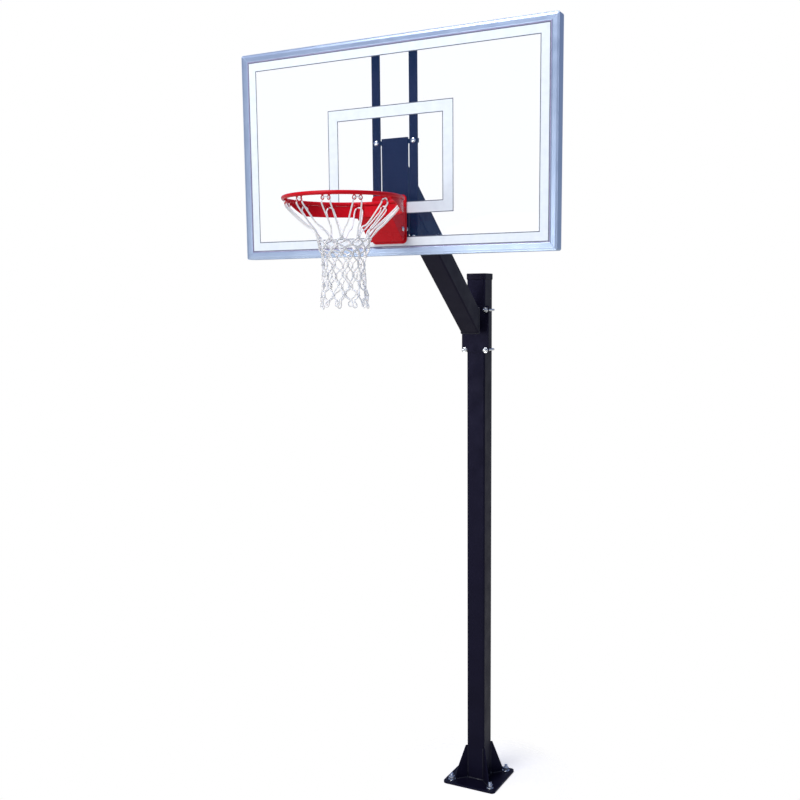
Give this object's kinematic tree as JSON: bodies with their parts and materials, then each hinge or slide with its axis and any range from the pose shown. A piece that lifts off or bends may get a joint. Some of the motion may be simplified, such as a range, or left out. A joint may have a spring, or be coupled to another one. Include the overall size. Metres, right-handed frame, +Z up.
{
  "type": "basketball hoop",
  "caption": "Ground-anchored outdoor basketball hoop: square post on a gusseted base plate, clamped diagonal arm, framed clear backboard, and a breakaway rim with a net.",
  "frame": {"origin": "on the ground, at the middle of the base plate's underside, on the post's axis", "axes": "+Z up along the post; -Y the way the board and rim face; +X to the right of someone who looks along +Y at the board"},
  "size_m": [1.524, 1.7432, 3.7464],
  "materials": {
    "black_powder_coat": "satin near-black powder coat with a faint orange peel",
    "red_powder_coat": "bright red gloss powder coat",
    "frame_coat": "pale blue-white satin powder coat on aluminium extrusion",
    "zinc_plate": "bright zinc plate",
    "cap_plastic": "fine-grained black moulded plastic",
    "gasket_rubber": "matte extruded rubber",
    "clear_acrylic": "clear polished acrylic sheet",
    "white_ink": "white screen-printed ink",
    "net_cord": "white braided nylon cord"
  },
  "bodies": {
    "root": {"base_plate": "black_powder_coat", "gusset_front_left": "black_powder_coat", "gusset_front_right": "black_powder_coat", "gusset_rear_left": "black_powder_coat", "gusset_rear_right": "black_powder_coat", "anchor_stud_front_left": "zinc_plate", "anchor_stud_front_right": "zinc_plate", "anchor_stud_rear_left": "zinc_plate", "anchor_stud_rear_right": "zinc_plate", "anchor_nut_front_left": "zinc_plate", "anchor_nut_front_right": "zinc_plate", "anchor_nut_rear_left": "zinc_plate", "anchor_nut_rear_right": "zinc_plate", "post": "black_powder_coat", "post_cap": "cap_plastic"},
    "arm_assembly": {"clamp_plate": "black_powder_coat", "u_bolt_upper": "zinc_plate", "u_bolt_lower": "zinc_plate", "u_bolt_nut_upper_left": "zinc_plate", "u_bolt_nut_upper_right": "zinc_plate", "u_bolt_nut_lower_left": "zinc_plate", "u_bolt_nut_lower_right": "zinc_plate", "arm_mount": "black_powder_coat", "arm": "black_powder_coat", "head_plate": "black_powder_coat", "board_strap_left": "black_powder_coat", "board_strap_right": "black_powder_coat", "cross_bar_upper": "black_powder_coat", "cross_bar_lower": "black_powder_coat", "strap_bolt_upper_left": "zinc_plate", "strap_bolt_upper_right": "zinc_plate", "strap_bolt_lower_left": "zinc_plate", "strap_bolt_lower_right": "zinc_plate", "frame_bottom": "frame_coat", "frame_right": "frame_coat", "frame_top": "frame_coat", "frame_left": "frame_coat", "acrylic_panel": "clear_acrylic", "panel_gasket": "gasket_rubber", "border_stripe": "white_ink", "target_square": "white_ink", "rim_back_plate": "red_powder_coat", "hinge_pin": "zinc_plate", "rim_bolt_upper_left": "zinc_plate", "rim_bolt_upper_right": "zinc_plate", "rim_bolt_lower_left": "zinc_plate", "rim_bolt_lower_right": "zinc_plate", "rim_spacer_upper_left": "zinc_plate", "rim_spacer_upper_right": "zinc_plate", "rim_spacer_lower_left": "zinc_plate", "rim_spacer_lower_right": "zinc_plate", "spring_rod_left": "zinc_plate", "spring_rod_right": "zinc_plate", "breakaway_spring_left": "zinc_plate", "breakaway_spring_right": "zinc_plate"},
    "rim": {"rim_housing": "red_powder_coat", "ring": "red_powder_coat", "ring_band": "red_powder_coat", "net": "net_cord"}
  },
  "joints": [
    {"name": "clamp_height", "type": "slide", "parent": "root", "child": "arm_assembly", "axis": [0, 0, 1], "range_m": [-0.6, 0.12]},
    {"name": "rim_tilt", "type": "hinge", "parent": "arm_assembly", "child": "rim", "pos_m": [0, -1.004, 2.939], "axis": [1, 0, 0], "range_deg": [0, 25], "stiffness_Nm_per_rad": 900, "springref_deg": -8.59, "deforming": ["breakaway_spring_left", "breakaway_spring_right"]}
  ]
}
